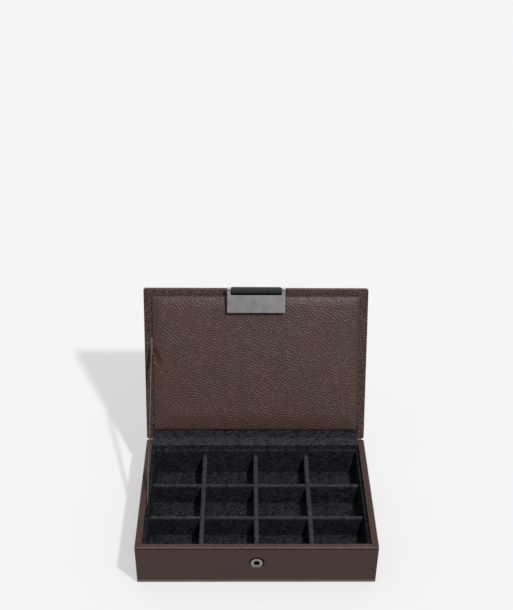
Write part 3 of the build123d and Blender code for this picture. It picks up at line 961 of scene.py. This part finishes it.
def makeStay():
    look = stayForm
    width, thick, cells, steps = look["width"] * mm, look["thick"] * mm, look["cells"], look["steps"]
    low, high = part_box("stay_ribbon")
    x = (low.x + high.x) / 2
    points = [vertex.co for vertex in nodes["stay_ribbon"].data.vertices]
    foot = [p.y for p in points if p.z < low.z + 0.05 * mm]
    back = lidPlace.inverted()
    head = [p.y for p in (back @ point for point in points) if p.z < 0.8 * mm]
    headAt = lidPlace @ Vector((x, (min(head) + max(head)) / 2, 0))
    start = Vector((x, sum(foot) / len(foot), low.z))
    reach = Vector((x, headAt.y, headAt.z)) - start
    along = reach.normalized()
    side = acrossX.cross(along).normalized()
    free = reach.length - look["short"] * mm

    def turned(share):
        swing = look["twist"] * sin(pi * share)
        return side * cos(swing) + acrossX * sin(swing)

    bow = acrossX * look["bow"] * mm
    path = [start + along * free * k / steps + bow * sin(pi * k / steps) for k in range(steps + 1)]
    piece = strip("stayRibbon", path, turned, width, thick, cells, stayCloth)
    finishPiece(piece, "base", "stay_ribbon", "stay_ribbon")
    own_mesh(piece)
    tail = [start - along * look["tail"] * mm * k / 8 for k in range(9)]
    tailPiece = strip("stayTail", tail, side, width, thick, cells, stayCloth)
    finishPiece(tailPiece, "base", "stay_ribbon", "stay_tail")
    size, level = tabHigh - tabLow, (tabLow.z + tabHigh.z) / 2
    tab = [Vector((tabLow.x + size.x * k / 8, tabMiddle, level)) for k in range(9)]
    tabPiece = strip("stayTab", tab, Vector((0, 1, 0)), size.y, size.z, cells, stayCloth, lidPlace)
    finishPiece(tabPiece, "lid", "stay_ribbon", "stay_tab")


makeStay()

strapForm = {
    "thick": 0.58, "gap": 0.06, "foldShare": 0.6, "foldBack": 0.3, "belly": 0.42, "bend": 1.2, "step": 0.7,
    "steps": 12, "cells": 40, "behind": 1.3,
}


def makeStrap():
    look = strapForm
    thick, step, steps = look["thick"] * mm, look["step"] * mm, look["steps"]
    tailLow, tailHigh = boxIn("strap_ribbon", lidPlace)
    loopLow, loopHigh = boxIn("strap_loop", barPlace)
    barLow, barHigh = boxIn("strap_bar", barPlace)
    bar = lidPlace.inverted() @ barPoint
    turn = (barHigh.z - barLow.z) / 2 + look["gap"] * mm + thick / 2  # the ribbon's middle about the bar
    sheetY, sheetZ = tailHigh.y - thick / 2, tailLow.z + thick / 2
    lowY = bar.y + loopLow.y + loopHigh.y  # the fold at the bottom of the loop
    flat = [yz(tailLow.y, sheetZ), yz(sheetY, sheetZ), yz(sheetY, bar.z - turn - 0.1 * mm)]
    path = spaced(bend(flat, look["bend"] * mm, 8), step)
    turns = [pi * k / steps for k in range(steps + 1)]
    loop = [yz(bar.y + turn * sin(angle), bar.z - turn * cos(angle)) for angle in turns]
    small = turn * look["foldShare"]  # the fold is tighter than the turn round the bar
    foldZ = bar.z - look["foldBack"] * mm
    fold = [yz(lowY + turn - small - small * sin(angle), foldZ + small * cos(angle)) for angle in turns]
    middle = (loop[-1] + fold[0]) / 2 + yz(0.25 * turn, 2 * look["belly"] * mm)  # the front of the loop bellies out
    front = [loop[-1] * (1 - t) ** 2 + middle * 2 * t * (1 - t) + fold[0] * t**2 for t in (0.17, 0.33, 0.5, 0.67, 0.83)]
    path += spaced([*loop, *front, *fold, yz(sheetY - look["behind"] * thick, bar.z - turn)], step)
    piece = strip("strap", path, acrossX, tailHigh.x - tailLow.x, thick, look["cells"], strapCloth, lidPlace)
    finishPiece(piece, None, "strap_ribbon", "strap_ribbon", "strap_loop")
    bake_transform(piece)


makeStrap()
print("ribbons ready")


# the metal
metalForm = {"plateEdge": 0.14, "barEdge": 0.15, "socketSag": 0.3, "holeRadius": 2.25, "holeDepth": 0.5}


def dressed(node, name, edge, material, body, slotName, place):
    # a node's own shape with its edges broken and its own UV map
    shape = bmesh.new()
    shape.from_mesh(nodes[node].data)
    bmesh.ops.remove_doubles(shape, verts=shape.verts, dist=0.001 * mm)
    bmesh.ops.dissolve_limit(shape, angle_limit=radians(2), verts=shape.verts, edges=shape.edges)
    edges = [e for e in shape.edges if len(e.link_faces) == 2 and e.calc_face_angle() > radians(30)]
    bmesh.ops.bevel(shape, geom=edges, offset=edge * mm, segments=3, profile=0.5, affect="EDGES", clamp_overlap=True)
    piece = fromBmesh(name, shape, material, 35)
    flatter = piece.modifiers.new("flatter", "WEIGHTED_NORMAL")  # the wide faces stay flat beside their broken edges
    flatter.keep_sharp = True
    bake(piece)
    mesh, back = piece.data, place.inverted()
    flatMap(mesh, lambda k: (back @ mesh.vertices[k].co)[:2])
    finishPiece(piece, body, slotName, node)
    return piece


dressed("clasp_plate", "claspPlate", metalForm["plateEdge"], gunmetal, "clasp", "gunmetal", barPlace)
dressed("strap_bar", "claspBar", metalForm["barEdge"], gunmetal, "strap", "gunmetal", barPlace)

studProfile = [
    (0, -2.1), (0.9, -2.1), (1.35, -2.02), (1.58, -1.8), (1.6, -1.5), (1.45, -1.28), (1.22, -1.18), (1.18, -0.7),
    (1.3, -0.5), (2.2, -0.42), (2.8, -0.34), (3.0, -0.18), (3.0, 0), (0, 0),
]
studLow, studHigh = boxIn("snap_stud", barPlace)
studMiddle = (studLow + studHigh) / 2
studPlace = barPlace @ Matrix.Translation((studMiddle.x, studMiddle.y, studHigh.z))
studPiece = lathe("snapStud", studProfile, studPlace, gunmetal)
finishPiece(studPiece, "clasp", "gunmetal", "snap_stud")

# the socket: heights are depths behind its front lip
socketProfile = [
    (0, -3.2), (2.2, -3.2), (2.2, -1.3), (2.6, -1.25), (2.6, -0.95), (2.2, -0.9), (2.2, -0.58), (2.32, -0.42),
    (2.55, -0.36), (2.85, -0.42), (3.0, -0.48), (3.1, -0.54), (3.5, -0.58), (3.9, -0.54), (4.1, -0.46), (4.3, -0.4),
    (4.48, -0.42), (4.56, -0.58), (4.58, -0.8), (4.54, -0.95), (3.2, -0.95), (3.2, -4.0), (0, -4.0),
]
# a dark flat ring behind the leather's hole, seen above the low-sitting socket: a painted shadow of the hole's upper
# edge
shadowRingProfile = [(4.6, -0.39), (6.6, -0.39), (6.6, -0.35), (4.6, -0.35), (4.6, -0.39)]
socketLow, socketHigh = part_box("snap_socket")
socketMiddle = (socketLow + socketHigh) / 2  # it sits a little low in the hole of the leather
socketAt = Vector((socketMiddle.x, socketLow.y, socketMiddle.z - metalForm["socketSag"] * mm))
socketPlace = Matrix.Translation(socketAt) @ Matrix.Rotation(pi / 2, 4, "X")
socketPiece = lathe("snapSocket", socketProfile, socketPlace, nickel)
socketPiece.data.materials.append(paintedShadeMetal)
for polygon in socketPiece.data.polygons:  # painted shade: the hole is dark inside
    spot = socketPlace.inverted() @ polygon.center
    if hypot(spot.x, spot.y) < metalForm["holeRadius"] * mm and spot.z < -metalForm["holeDepth"] * mm:
        polygon.material_index = 1
finishPiece(socketPiece, "base", "nickel", "snap_socket")
# the dark ring that paints the shadow in the leather's hole
shadowRing = lathe("snapWasher", shadowRingProfile, socketPlace, paintedShadeMetal)
finishPiece(shadowRing, "base", "nickel")
print("metal ready")


# the studio
studio = {
    "cameraAt": (-10.09, -586.70, 579.14), "cameraTurn": (52.034, -0.514, -0.538), "lens": 59.874, "shiftY": 0.16486,
    "keyAt": (205, -320, 672), "keyRadius": 22, "key": 1.0, "skyLow": 0.02, "skyHigh": 1.07,
    "skyTilt": (0, 0.3, 0.95), "skyFrom": -0.3, "skyTo": 0.95, "floorGlow": 0.50, "floorDiffuse": 0.23,
    "floorReach": 5,
}


def makeStudio():
    look = studio
    scene = bpy.context.scene
    camera = bpy.data.cameras.new("camera")
    camera.lens = look["lens"]
    camera.shift_y = look["shiftY"]
    camera.clip_start = 0.01
    holder = newObject("camera", camera)
    holder.location = Vector(look["cameraAt"]) * mm
    holder.rotation_euler = [radians(turn) for turn in look["cameraTurn"]]
    scene.camera = holder
    scene.view_settings.view_transform = "Standard"

    world = bpy.data.worlds.new("studio")
    world.use_nodes = True
    tree = world.node_tree
    upward = dot(add(tree, "ShaderNodeTexCoord").outputs["Generated"], look["skyTilt"])
    sky = tree.nodes["Background"].inputs
    feed(sky["Strength"], mapRange(upward, look["skyFrom"], look["skyTo"], look["skyLow"], look["skyHigh"]))
    feed(sky["Color"], (1, 1, 1, 1))
    scene.world = world

    # the key light is as strong on the far floor as under the lamp
    light = bpy.data.lights.new("key", "POINT")
    light.shadow_soft_size = look["keyRadius"] * mm
    height = look["keyAt"][2] * mm
    light.energy = 4 * pi * pi * look["key"]
    light.use_nodes = True
    tree = light.node_tree
    even = add(tree, "ShaderNodeLightFalloff", {"Strength": 1.0})
    reach = maths("DIVIDE", add(tree, "ShaderNodeLightPath").outputs["Ray Length"], height)
    feed(tree.nodes["Emission"].inputs["Strength"], times(even.outputs["Constant"], reach))
    lamp = newObject("key", light)
    lamp.location = Vector(look["keyAt"]) * mm

    mesh = bpy.data.meshes.new("floor")
    far = look["floorReach"]
    mesh.from_pydata([(-far, -far, 0), (far, -far, 0), (far, far, 0), (-far, far, 0)], [], [(0, 1, 2, 3)])
    paper, tree, shader = newMaterial("paper")
    values = {
        "Base Color": (look["floorDiffuse"],) * 3 + (1,), "Roughness": 1.0, "Specular IOR Level": 0.0,
        "Emission Color": (1, 1, 1, 1), "Emission Strength": look["floorGlow"],
    }
    for key, value in values.items():
        feed(shader.inputs[key], value)
    newObject("floor", mesh, paper)


makeStudio()
print("studio ready")
